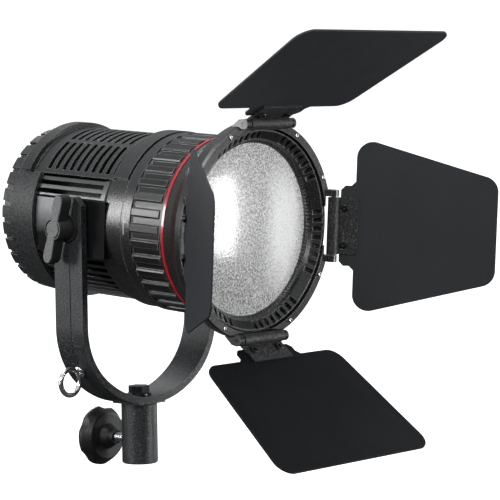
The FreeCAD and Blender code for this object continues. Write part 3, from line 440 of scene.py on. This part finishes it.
def skin(bm, grid):
    """Faces over a grid of points."""
    for near, far in zip(grid, grid[1:]):
        for a, b, c, d in zip(near, near[1:], far[1:], far):
            bm.faces.new((a, b, c, d))


def slab(bm, outline, low, high, place):
    """A flat plate with that outline between two heights."""
    bottom = [bm.verts.new(place @ Vector((x, y, low))) for x, y in outline]
    top = [bm.verts.new(place @ Vector((x, y, high))) for x, y in outline]
    count = len(outline)
    bm.faces.new(list(reversed(bottom)))
    bm.faces.new(top)
    for index in range(count):
        after = (index + 1) % count
        bm.faces.new((bottom[index], bottom[after], top[after], top[index]))


def hexagon(flats):
    """A radius function for a hexagon with that distance across its flats."""
    def reach(angle, _height):
        sector = math.pi / 3
        return flats / 2 / math.cos((angle + sector / 2) % sector - sector / 2)
    return reach


def piece(name, bm, body, slot, finish=None, replaced=(), sharp=35.0, place=None, round_off=0.0):
    """A finished piece: shaded smooth across soft edges, riding on a body."""
    bmesh.ops.remove_doubles(bm, verts=bm.verts, dist=1e-7)
    bmesh.ops.recalc_face_normals(bm, faces=bm.faces)
    for face in bm.faces:
        face.smooth = True
    for edge in bm.edges:
        if len(edge.link_faces) == 2 and edge.calc_face_angle(0.0) > math.radians(sharp):
            edge.smooth = False
    mesh = bpy.data.meshes.new(name)
    bm.to_mesh(mesh)
    bm.free()
    made = bpy.data.objects.new(name, mesh)
    bpy.context.scene.collection.objects.link(made)
    mesh.materials.append(FINISHES[finish or slot])
    if place is not None:
        made.matrix_world = place
    if round_off:
        soft = made.modifiers.new("round", "BEVEL")
        soft.width = round_off
        soft.segments = 3
        soft.limit_method = "ANGLE"
        soft.angle_limit = math.radians(sharp)
    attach(made, body)
    if replaced:
        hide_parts(*replaced)
    return made


def cap_screw(bm, place, radius, height, socket, depth, dome=0.25):
    """A socket screw's head on the plane z = 0, with a rounded rim and a hexagonal recess."""
    rows = [
        (radius * 0.96, 0.0), (radius, height * 0.12), (radius, height * 0.55),
        (radius * 0.97, height * 0.78), (radius * 0.88, height * (1 - dome * 0.3)),
        (radius * 0.74, height),
        (hexagon(socket * 1.12), height), (hexagon(socket), height - socket * 0.08),
        (hexagon(socket), height - depth),
    ]
    loft(bm, rows, place, 24)


def hex_nut(bm, place, flats, low, high, bore):
    """A nut from z = low to z = high with chamfered corners."""
    edge = flats * 0.5
    step = (high - low) * 0.14
    rows = [
        (bore, low), (edge * 1.02, low), (hexagon(flats), low + step), (hexagon(flats), high - step),
        (edge * 1.02, high), (bore * 1.15, high), (bore, high - step),
    ]
    loft(bm, rows, place, 24, closed=True)


# ---------------------------------------------------------------- lens and front
LENS_REAR = 99.0 * MM
LENS_EDGE = 59.8 * MM
LENS_WALL = 4.0 * MM
DOME_RADIUS = 57.7 * MM
DOME_RISE = 9.5 * MM
SPHERE = (DOME_RADIUS ** 2 + DOME_RISE ** 2) / (2 * DOME_RISE)


def make_lens():
    """The lens: a smooth domed front and a back cut in fine steps."""
    bm = bmesh.new()
    rows = []
    steps = 14
    for index in range(steps):
        inner = (6.0 + 3.6 * index) * MM
        rows.append((inner, LENS_REAR + 0.1 * MM))
        rows.append((inner + 3.4 * MM, LENS_REAR + 1.9 * MM))
    rows += [(LENS_EDGE, LENS_REAR + 0.1 * MM), (LENS_EDGE, LENS_REAR + LENS_WALL)]
    centre = LENS_REAR + LENS_WALL + DOME_RISE - SPHERE
    dome_rows = 36
    for index in range(dome_rows + 1):
        reach = DOME_RADIUS * (1 - index / dome_rows) ** 0.9 + 0.2 * MM
        rows.append((reach, centre + math.sqrt(SPHERE ** 2 - min(reach, DOME_RADIUS) ** 2)))
    loft(bm, rows, Matrix.Identity(4), 144)
    piece("lens_front", bm, "head", "lens_glass", replaced=("fresnel_lens",), sharp=25.0, place=BEAM)


def make_lens_knurl():
    """The toothed rim that grips the lens, just inside the slotted retainer."""
    bm = bmesh.new()
    teeth = 150

    def toothed(base):
        def reach(angle, _height):
            phase = (angle * teeth / math.tau) % 1.0
            return base - 0.75 * MM * abs(2 * phase - 1)
        return reach

    base = LENS_REAR + LENS_WALL
    rows = [
        (59.4 * MM, base + 0.1 * MM), (toothed(58.3 * MM), base + 0.15 * MM),
        (toothed(59.1 * MM), base + 2.4 * MM), (59.75 * MM, base + 3.0 * MM),
        (59.9 * MM, base + 0.5 * MM),
    ]
    loft(bm, rows, BEAM, teeth * 6, closed=True)
    piece("lens_knurl", bm, "head", "body_black", sharp=40.0)


RING_SCREW_RADIUS = 70.8 * MM
RING_SCREW_TURN = 28
RING_FRONT = 114.4 * MM


def make_ring_screws():
    """Eight small screws round the front of the barn-door ring."""
    bm = bmesh.new()
    for quarter in range(4):
        for side in (-RING_SCREW_TURN, RING_SCREW_TURN):
            place = station(90 * quarter + side, RING_SCREW_RADIUS, RING_FRONT)
            cap_screw(bm, place, 1.6 * MM, 0.9 * MM, 1.5 * MM, 0.6 * MM)
    piece("ring_screw_heads", bm, "door_ring", "steel_black", finish="steel", replaced=("ring_screws",))


# ---------------------------------------------------------------- doors
OPEN_LIMIT = 100.0
DOOR_PLACES = {"top": 90.0, "bottom": 270.0, "left": 180.0, "right": 0.0}
SCREW_ACROSS = 12.6 * MM
SCREW_ALONG = 7.5 * MM
BRACKET_LOW = 2.4 * MM
LEAF_OUTER = 5.15 * MM


def door_frame(name):
    """One door's own frame: x along the hinge, y away from the beam, z along the leaf."""
    joint = JOINTS[f"{name}_door_hinge"]
    place = math.radians(DOOR_PLACES[name])
    opening = math.radians(OPEN_LIMIT - min(abs(limit) for limit in joint["range_deg"]))
    out = ACROSS * math.cos(place) + UP * math.sin(place)
    along = FORWARD * math.cos(opening) + out * math.sin(opening)
    normal = out * math.cos(opening) - FORWARD * math.sin(opening)
    return axes(normal.cross(along), normal, along, Vector(joint["pos_m"]))


def make_door_screws(name):
    """Two socket screws through the bracket and the leaf, with nuts behind."""
    bm = bmesh.new()
    frame_matrix = door_frame(name)
    for side in (-1, 1):
        spot = frame_matrix @ Matrix.Translation((side * SCREW_ACROSS, 0, SCREW_ALONG))
        head = spot @ Matrix.Translation((0, BRACKET_LOW, 0)) @ Matrix.Rotation(math.radians(90), 4, "X")
        cap_screw(bm, head, 2.8 * MM, 1.35 * MM, 2.6 * MM, 0.9 * MM)
        back = spot @ Matrix.Translation((0, LEAF_OUTER, 0)) @ Matrix.Rotation(math.radians(-90), 4, "X")
        hex_nut(bm, back, 4.9 * MM, 0.02 * MM, 2.0 * MM, 1.5 * MM)
        loft(bm, [(1.45 * MM, -2.0 * MM), (1.45 * MM, 2.1 * MM), (1.1 * MM, 2.4 * MM)], back, 16)
    piece(f"{name}_door_fixings", bm, f"door_{name}", "steel_black", replaced=(f"door_{name}_screws",))


# ---------------------------------------------------------------- vent mesh
def make_vent_grille():
    """Perforated sheet behind the slots of the vent cover."""
    bm = bmesh.new()
    radius = 55.9 * MM
    half_angle = 55.0
    columns, rows = 50, 28
    low, high = -41.5 * MM, 22.0 * MM
    ring = 8
    for column in range(columns):
        for line in range(rows):
            shift = 0.5 if line % 2 else 0.0
            if column + shift > columns - 0.6:
                continue
            corners = []
            holes = []
            for index in range(ring):
                turn = math.tau * index / ring
                reach = 0.5 / max(abs(math.cos(turn)), abs(math.sin(turn)))
                for target, size in ((corners, reach), (holes, 0.31)):
                    u = column + shift + 0.5 + size * math.cos(turn)
                    v = line + 0.5 + size * math.sin(turn)
                    angle = 90.0 - half_angle + 2 * half_angle * u / columns
                    forward = low + (high - low) * v / rows
                    out = math.radians(angle)
                    point = Vector((radius * math.cos(out), radius * math.sin(out), forward))
                    target.append(bm.verts.new(BEAM @ point))
            for index in range(ring):
                after = (index + 1) % ring
                bm.faces.new((corners[index], corners[after], holes[after], holes[index]))
    made = piece("vent_grille", bm, "head", "steel_black", finish="steel_black", replaced=("vent_mesh",))
    thick = made.modifiers.new("wall", "SOLIDIFY")
    thick.thickness = 0.5 * MM
    thick.offset = 0.0


# ---------------------------------------------------------------- yoke hardware
LOCK_HEIGHT = JOINTS["lock_turn"]["pos_m"][2]


def make_stem():
    """The lock knob's stem with its thread."""
    bm = bmesh.new()
    pitch = 1.0 * MM
    low, high = 10.2 * MM, 30.5 * MM

    def threaded(angle, height):
        phase = (height / pitch - angle / math.tau) % 1.0
        return 2.62 * MM + 0.36 * MM * (1 - abs(2 * phase - 1))

    rows = [(1.9 * MM, low)]
    steps = 150
    for index in range(steps + 1):
        rows.append((threaded, low + 0.5 * MM + (high - low - 0.5 * MM) * index / steps))
    place = axes(ACROSS, Vector((0, 0, -1)), Vector((0, 1, 0)), Vector((0, 0, LOCK_HEIGHT)))
    loft(bm, rows, place, 24)
    piece("stem_thread", bm, "lock_knob", "steel", replaced=("lock_stem",), sharp=60.0)


LEVER_FACE = 81.0 * MM
LEVER_ROOT = 68.2 * MM
LEVER_HALF = 24.0 * MM
LEVER_LEAN = 16.5


def make_lever():
    """The tilt lever: a waisted wing with round ends on a turned hub with a cap."""
    bm = bmesh.new()
    outline = []
    samples = 40
    for end in (1, -1):
        for index in range(samples + 1):
            along = LEVER_HALF * math.cos(math.pi * index / samples)
            share = abs(along) / LEVER_HALF
            waist = 3.5 + 1.7 * share ** 1.6
            reach = waist * MM * (1 - share ** 7) ** 0.5
            outline.append((end * reach, end * along))
    lean = math.radians(LEVER_LEAN)
    place = axes(
        Vector((0, -math.cos(lean), -math.sin(lean))), Vector((0, -math.sin(lean), math.cos(lean))),
        -ACROSS, Vector((0, 0, PIVOT.z)),
    )
    clean = [point for index, point in enumerate(outline) if index not in (samples, 2 * samples + 1)]
    slab(bm, clean, LEVER_ROOT + 3.1 * MM, LEVER_FACE - 0.05 * MM, place)
    piece(
        "lever_wing", bm, "tilt_lever", "lever_grey",
        replaced=("tilt_lever",), sharp=30.0, round_off=1.1 * MM,
    )
    hub = bmesh.new()
    rows = [
        (4.1 * MM, LEVER_ROOT), (7.0 * MM, LEVER_ROOT), (7.6 * MM, LEVER_ROOT + 0.6 * MM),
        (7.6 * MM, LEVER_FACE - 0.9 * MM), (7.2 * MM, LEVER_FACE - 0.2 * MM), (6.6 * MM, LEVER_FACE),
        (6.4 * MM, LEVER_FACE - 0.3 * MM), (6.4 * MM, LEVER_FACE - 1.2 * MM),
        (4.1 * MM, LEVER_FACE - 1.2 * MM),
    ]
    loft(hub, rows, place, 64, closed=True)
    piece("lever_hub", hub, "tilt_lever", "lever_grey", sharp=30.0)
    cap = bmesh.new()
    rows = [
        (5.7 * MM, LEVER_FACE - 1.15 * MM), (5.7 * MM, LEVER_FACE - 0.35 * MM),
        (5.4 * MM, LEVER_FACE - 0.05 * MM),
        (1.0 * MM, LEVER_FACE),
    ]
    loft(cap, rows, place, 48)
    piece("lever_badge", cap, "tilt_lever", "lever_grey", replaced=("lever_cap",), sharp=25.0)


YOKE_HALF = 66.6 * MM
BEND_CENTRE = Vector((-14.6, 0.0, 99.23)) * MM
EYE_LEAN = math.radians(35)
EYE_SEAT = 52.0 * MM
EYE_REACH = 63.6 * MM
EYE_RING = 8.8 * MM
EYE_WIRE = 1.7 * MM


def make_eye_ring():
    """The bright safety eye: a round wire ring on a collar, screwed through the left bend."""
    bm = bmesh.new()
    out = Vector((-math.cos(EYE_LEAN), 0, -math.sin(EYE_LEAN)))
    along = Vector((0, 1, 0))
    place = axes(along.cross(out), along, out, BEND_CENTRE)
    ring = axes(along.cross(out), out, along, BEND_CENTRE + out * EYE_REACH)
    wire = []
    turns = 28
    for index in range(turns):
        turn = math.tau * index / turns
        wire.append((EYE_RING + EYE_WIRE * math.cos(turn), EYE_WIRE * math.sin(turn)))
    loft(bm, wire, ring, 96, closed=True)
    low = EYE_SEAT
    shank = [
        (2.6 * MM, low - 9.3 * MM), (2.95 * MM, low - 8.8 * MM), (2.95 * MM, low - 0.3 * MM),
        (4.2 * MM, low - 0.02 * MM), (4.45 * MM, low + 0.3 * MM), (4.45 * MM, low + 1.3 * MM),
        (4.1 * MM, low + 1.8 * MM), (2.3 * MM, low + 2.1 * MM), (1.75 * MM, low + 2.6 * MM),
    ]
    loft(bm, shank, place, 48)
    piece("eye_ring", bm, "yoke", "chrome", replaced=("eye_bolt",), sharp=50.0)


def make_pivot_bolt():
    """The button-headed bolt through the right arm."""
    bm = bmesh.new()
    place = axes(Vector((0, 1, 0)), Vector((0, 0, 1)), ACROSS, Vector((YOKE_HALF, 0, PIVOT.z)))
    cap_screw(bm, place, 7.0 * MM, 4.0 * MM, 5.2 * MM, 2.4 * MM, dome=0.6)
    loft(bm, [(3.95 * MM, -19.0 * MM), (3.95 * MM, 0.2 * MM)], place, 32)
    piece("pivot_bolt_head", bm, "yoke", "steel_black", replaced=("pivot_bolt",))


PANEL_REAR = -73.0 * MM
PANEL_SCREW_RADIUS = 47.5 * MM
DIMMER_OFFSET = 36.0 * MM


def make_panel_screws():
    """Four screws in the rear panel."""
    bm = bmesh.new()
    turn = Matrix.Rotation(math.pi, 4, "X")
    for quarter in range(4):
        place = station(45 + 90 * quarter, PANEL_SCREW_RADIUS, PANEL_REAR) @ turn
        cap_screw(bm, place, 2.6 * MM, 1.0 * MM, 2.0 * MM, 0.7 * MM)
    piece("panel_screw_heads", bm, "head", "steel_black", replaced=("panel_screws",))


# ---------------------------------------------------------------- marks and small fittings
def make_index_line():
    """A fine white index line on the front collar, with a short cross tick."""
    bm = bmesh.new()
    radius = 61.03 * MM
    sunk, proud = radius - 0.1 * MM, radius + 0.04 * MM
    for centre, half_turn, forward, half_length in ((177.0, 8.2, 46.6, 0.28), (177.0, 0.5, 47.8, 1.1)):
        steps = max(2, round(half_turn * 2))
        edge = []
        for index in range(steps + 1):
            angle = math.radians(centre - half_turn + 2 * half_turn * index / steps)
            edge.append([
                bm.verts.new(BEAM @ Vector((reach * math.cos(angle), reach * math.sin(angle), s * MM)))
                for reach, s in (
                    (sunk, forward - half_length), (proud, forward - half_length),
                    (proud, forward + half_length), (sunk, forward + half_length),
                )
            ])
        for a, b in zip(edge, edge[1:]):
            for index in range(4):
                after = (index + 1) % 4
                bm.faces.new((a[index], a[after], b[after], b[index]))
        bm.faces.new(edge[0])
        bm.faces.new(list(reversed(edge[-1])))
    piece("index_line", bm, "head", "body_black", finish="mark_white", sharp=50.0)


SIDE_LOW, SIDE_HIGH = -22.5 * MM, 13.0 * MM
SIDE_REAR, SIDE_FRONT = -41.2 * MM, -15.2 * MM
SIDE_FACE = 56.2 * MM


def make_side_panels():
    """Polished panels beside the pivots, gently crowned from top to bottom."""
    crown = 1.2 * MM
    rows, columns = 12, 6
    for name, sign in (("left", -1), ("right", 1)):
        bm = bmesh.new()
        grid = []
        for row in range(rows + 1):
            share = 2 * row / rows - 1
            line = []
            for column in range(columns + 1):
                forward = SIDE_REAR + (SIDE_FRONT - SIDE_REAR) * column / columns
                high = SIDE_LOW + (SIDE_HIGH - SIDE_LOW) * row / rows
                face = SIDE_FACE - 0.1 * MM - crown * share ** 2
                line.append(bm.verts.new(ORIGIN + ACROSS * sign * face + UP * high + FORWARD * forward))
            grid.append(line)
        skin(bm, grid)
        made = piece(f"side_gloss_{name}", bm, "head", "side_gloss", replaced=(f"side_panel_{name}",))
        wall = made.modifiers.new("wall", "SOLIDIFY")
        wall.thickness = 0.9 * MM
        wall.offset = 0.0


def make_side_mark():
    """A plain printed ring on the left side panel."""
    bm = bmesh.new()
    spot = ORIGIN - ACROSS * SIDE_FACE - FORWARD * 33.0 * MM - UP * 2.0 * MM
    place = axes(FORWARD, UP, -ACROSS, spot)
    rows = [(2.6 * MM, -0.05 * MM), (3.1 * MM, -0.05 * MM), (3.1 * MM, 0.05 * MM), (2.6 * MM, 0.05 * MM)]
    loft(bm, rows, place, 48, closed=True)
    piece("side_mark", bm, "head", "side_gloss", finish="mark_white")


def strip(near, far, half):
    """The outline of a strip along local x."""
    return [(near, -half), (far, -half), (far, half), (near, half)]


def make_dimmer_marks():
    """Tick marks round the dimmer knob and a pointer on the knob."""
    back = axes(ACROSS, -UP, -FORWARD, ORIGIN + FORWARD * PANEL_REAR + ACROSS * DIMMER_OFFSET)
    ticks = bmesh.new()
    for index in range(11):
        turn = Matrix.Rotation(math.radians(-150 + 30 * index), 4, "Z")
        slab(ticks, strip(10.6 * MM, 12.6 * MM, 0.2 * MM), -0.05 * MM, 0.06 * MM, back @ turn)
    piece("dimmer_ticks", ticks, "head", "body_black", finish="mark_white")
    pointer = bmesh.new()
    upright = back @ Matrix.Rotation(math.radians(90), 4, "Z")
    slab(pointer, strip(3.0 * MM, 7.0 * MM, 0.3 * MM), 8.9 * MM, 9.06 * MM, upright)
    piece("dimmer_pointer", pointer, "dimmer_knob", "knob_black", finish="mark_white")


make_lens()
make_lens_knurl()
make_ring_screws()
for door in DOOR_PLACES:
    make_door_screws(door)
make_vent_grille()
make_stem()
make_lever()
make_eye_ring()
make_pivot_bolt()
make_panel_screws()
make_index_line()
make_side_panels()
make_side_mark()
make_dimmer_marks()


# ---------------------------------------------------------------- studio
LIT_SPOT = Vector((0.0, -0.03, 0.14))


def softbox(name, direction, distance, width, height, power):
    """A rectangular area light aimed at the lamp, out of the camera's sight."""
    lamp = bpy.data.lights.new(name, "AREA")
    lamp.shape = "RECTANGLE"
    lamp.size, lamp.size_y = width, height
    lamp.energy = power
    made = bpy.data.objects.new(name, lamp)
    bpy.context.scene.collection.objects.link(made)
    away = Vector(direction).normalized()
    made.location = LIT_SPOT + away * distance
    made.rotation_mode = "QUATERNION"
    made.rotation_quaternion = (-away).to_track_quat("-Z", "Y")
    made.visible_camera = False
    return made


def make_floor():
    """A plain white paper floor, seen by the camera only."""
    bm = bmesh.new()
    reach, height, cuts = 30.0, -0.6, 12
    spots = [reach * (2 * index / cuts - 1) for index in range(cuts + 1)]
    skin(bm, [[bm.verts.new((x, y, height)) for x in spots] for y in spots])
    mesh = bpy.data.meshes.new("studio_floor")
    bm.to_mesh(mesh)
    bm.free()
    made = bpy.data.objects.new("studio_floor", mesh)
    bpy.context.scene.collection.objects.link(made)
    paper = Finish("studio_paper")
    paper.set(
        Base_Color=grey(0.9), Roughness=0.9, Emission_Color=grey(1.0), Emission_Strength=1.0,
    )
    mesh.materials.append(paper.material)
    made.visible_diffuse = False
    made.visible_glossy = False
    made.visible_transmission = False


def make_world():
    """White behind the lamp, and a dimmer light on it that fades towards the floor."""
    world = bpy.data.worlds.new("studio")
    world.use_nodes = True
    tree = world.node_tree
    tree.nodes.clear()
    path = tree.nodes.new("ShaderNodeLightPath")
    seen = tree.nodes.new("ShaderNodeBackground")
    seen.inputs["Color"].default_value = (1.0, 1.0, 1.0, 1.0)
    seen.inputs["Strength"].default_value = 1.1
    fill = tree.nodes.new("ShaderNodeBackground")
    fill.inputs["Color"].default_value = (0.96, 0.98, 1.0, 1.0)
    sky = tree.nodes.new("ShaderNodeTexCoord")
    height = tree.nodes.new("ShaderNodeSeparateXYZ")
    shade = tree.nodes.new("ShaderNodeMapRange")
    for key, number in (("From Min", -0.1), ("From Max", 1.0), ("To Min", 0.06), ("To Max", 0.75)):
        shade.inputs[key].default_value = number
    tree.links.new(sky.outputs["Generated"], height.inputs[0])
    tree.links.new(height.outputs["Z"], shade.inputs["Value"])
    tree.links.new(shade.outputs["Result"], fill.inputs["Strength"])
    choose = tree.nodes.new("ShaderNodeMixShader")
    output = tree.nodes.new("ShaderNodeOutputWorld")
    tree.links.new(path.outputs["Is Camera Ray"], choose.inputs["Fac"])
    tree.links.new(fill.outputs["Background"], choose.inputs[1])
    tree.links.new(seen.outputs["Background"], choose.inputs[2])
    tree.links.new(choose.outputs["Shader"], output.inputs["Surface"])
    bpy.context.scene.world = world


AZIMUTH = math.radians(-48.84)
ELEVATION = math.radians(3.74)
ROLL = math.radians(-0.83)
TARGET = Vector((0.0, -0.1046, 0.1517))
RANGE = 1.6
LENS_LENGTH = 173.2


def make_camera():
    """The camera at the photo's angle."""
    side = Vector((math.cos(AZIMUTH), math.sin(AZIMUTH), 0))
    level = math.cos(ELEVATION)
    back = Vector((math.sin(AZIMUTH) * level, -math.cos(AZIMUTH) * level, math.sin(ELEVATION)))
    top = back.cross(side)
    right = side * math.cos(ROLL) + top * math.sin(ROLL)
    up = top * math.cos(ROLL) - side * math.sin(ROLL)
    camera = bpy.data.cameras.new("photo_camera")
    camera.sensor_width = 36.0
    camera.lens = LENS_LENGTH
    camera.clip_start = 0.05
    camera.clip_end = 100.0
    made = bpy.data.objects.new("photo_camera", camera)
    bpy.context.scene.collection.objects.link(made)
    made.matrix_world = axes(right, up, back, TARGET + back * RANGE)
    bpy.context.scene.camera = made


softbox("lens_key", (0.42, -0.90, -0.02), 1.1, 0.26, 0.55, 8.0)
softbox("lens_edge", (0.97, -0.20, 0.02), 1.2, 0.20, 0.55, 4.5)
softbox("side_back", (-0.80, 0.60, 0.22), 1.4, 0.22, 0.5, 8.0)
softbox("front_left", (-0.85, -0.60, 0.42), 1.6, 0.5, 0.25, 8.0)
softbox("rear_fill", (0.5, 1.0, 0.35), 1.6, 0.5, 0.4, 5.0)
softbox("low_left", (-1.0, 0.20, -0.05), 1.5, 0.2, 0.5, 3.5)
softbox("overhead", (-0.35, 0.10, 1.0), 1.3, 0.25, 0.7, 6.0)
make_floor()
make_world()
make_camera()
bpy.context.scene.view_settings.view_transform = "Standard"
bpy.context.scene.view_settings.look = "None"
